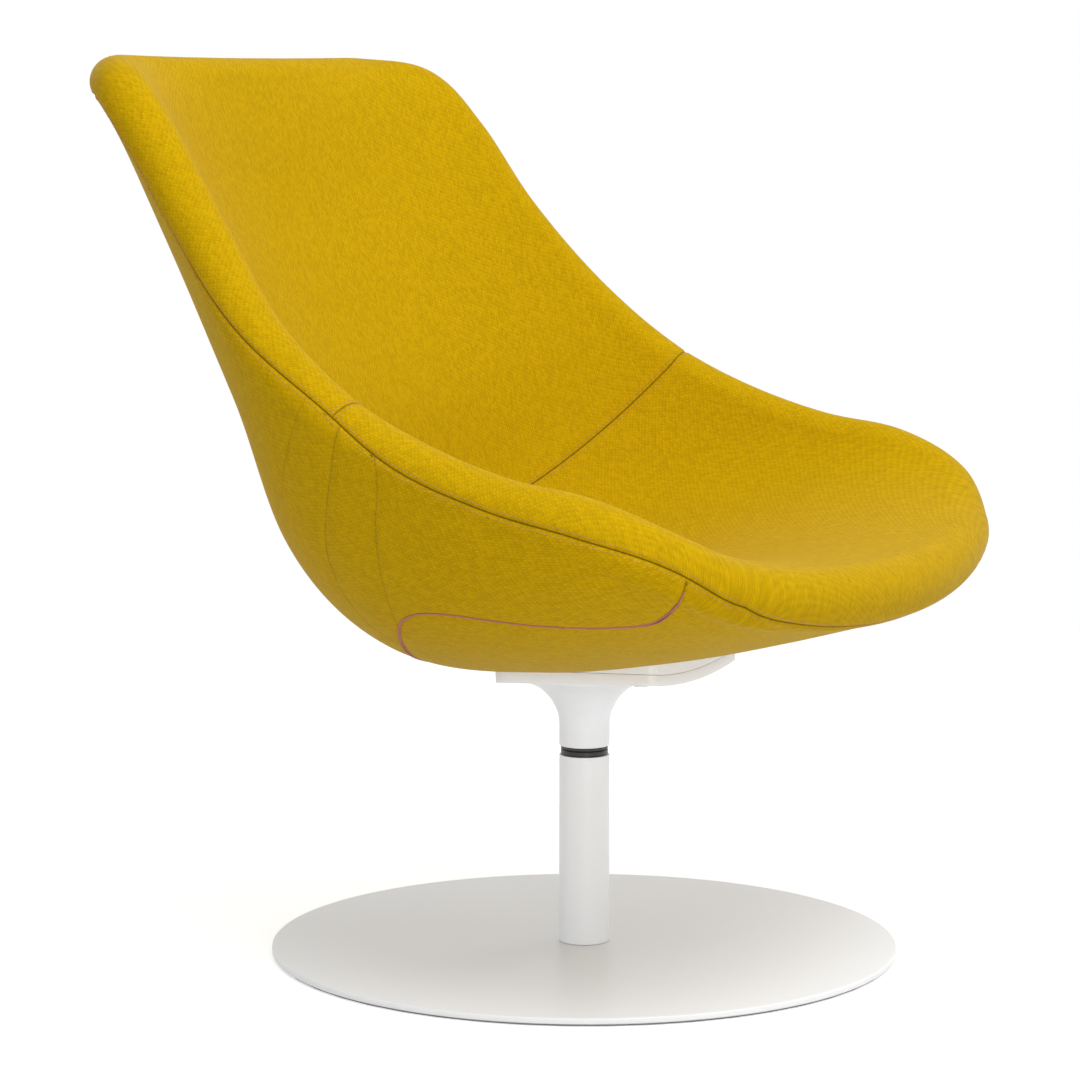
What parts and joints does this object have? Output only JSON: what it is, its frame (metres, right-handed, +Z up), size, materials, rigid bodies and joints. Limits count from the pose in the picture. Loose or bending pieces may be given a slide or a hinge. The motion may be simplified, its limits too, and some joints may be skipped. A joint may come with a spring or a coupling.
{
  "type": "pedestal swivel armchair",
  "caption": "Upholstered bucket lounge chair with sides that rise into arm rests, on a round swivel column and a thin flat disc base.",
  "frame": {"origin": "on the floor under the middle of the disc, on the column's axis", "axes": "+Z up along the column, -Y towards the sitter's front at rest, +X to the sitter's left"},
  "size_m": [0.7722, 0.7558, 0.8528],
  "materials": {
    "yellow_wool": "mustard yellow woven wool, matt with a slight fibre sheen",
    "zip_tape": "red-brown zip tape and teeth",
    "white_paint": "smooth white powder coat, semi-gloss",
    "white_plastic": "white moulded plastic, satin",
    "black_plastic": "black moulded bearing plastic",
    "steel": "plain zinc-plated steel",
    "felt": "grey floor protector sheet",
    "foam": "moulded polyurethane foam",
    "webbing": "black elastic webbing"
  },
  "bodies": {
    "base": {"floor_protector": "felt", "base_plate": "white_paint", "centre_screw": "steel", "locating_pin_left": "steel", "locating_pin_right": "steel", "foot_plug": "steel", "column_tube": "white_paint", "lower_bush": "black_plastic", "upper_bush": "black_plastic", "thrust_washer": "black_plastic"},
    "seat": {"back_strap_1": "webbing", "back_strap_2": "webbing", "back_strap_3": "webbing", "column_head": "white_paint", "cover_gore_left": "yellow_wool", "cover_gore_right": "yellow_wool", "cover_inner_back": "yellow_wool", "cover_inner_seat": "yellow_wool", "cover_outer_back": "yellow_wool", "cover_side_left": "yellow_wool", "cover_side_right": "yellow_wool", "cover_under": "yellow_wool", "foam_back": "foam", "foam_seat": "foam", "frame_bar_left": "steel", "frame_bar_right": "steel", "frame_front_rail": "steel", "frame_main_tube": "steel", "frame_plate": "steel", "frame_rear_rail": "steel", "head_screw_1": "steel", "head_screw_2": "steel", "head_screw_3": "steel", "head_screw_4": "steel", "mount_bracket": "white_paint", "mount_spacer": "white_plastic", "retaining_ring": "steel", "retaining_washer": "steel", "seat_screw_1": "steel", "seat_screw_2": "steel", "seat_screw_3": "steel", "seat_screw_4": "steel", "seat_strap_1": "webbing", "seat_strap_2": "webbing", "seat_strap_3": "webbing", "spindle": "steel", "spindle_screw": "steel", "zip_left": "zip_tape", "zip_right": "zip_tape", "zip_slider_left": "steel", "zip_slider_right": "steel"}
  },
  "joints": [
    {"name": "seat_swivel", "type": "hinge", "parent": "base", "child": "seat", "pos_m": [0, 0, 0.1957], "axis": [0, 0, 1], "continuous": true}
  ]
}
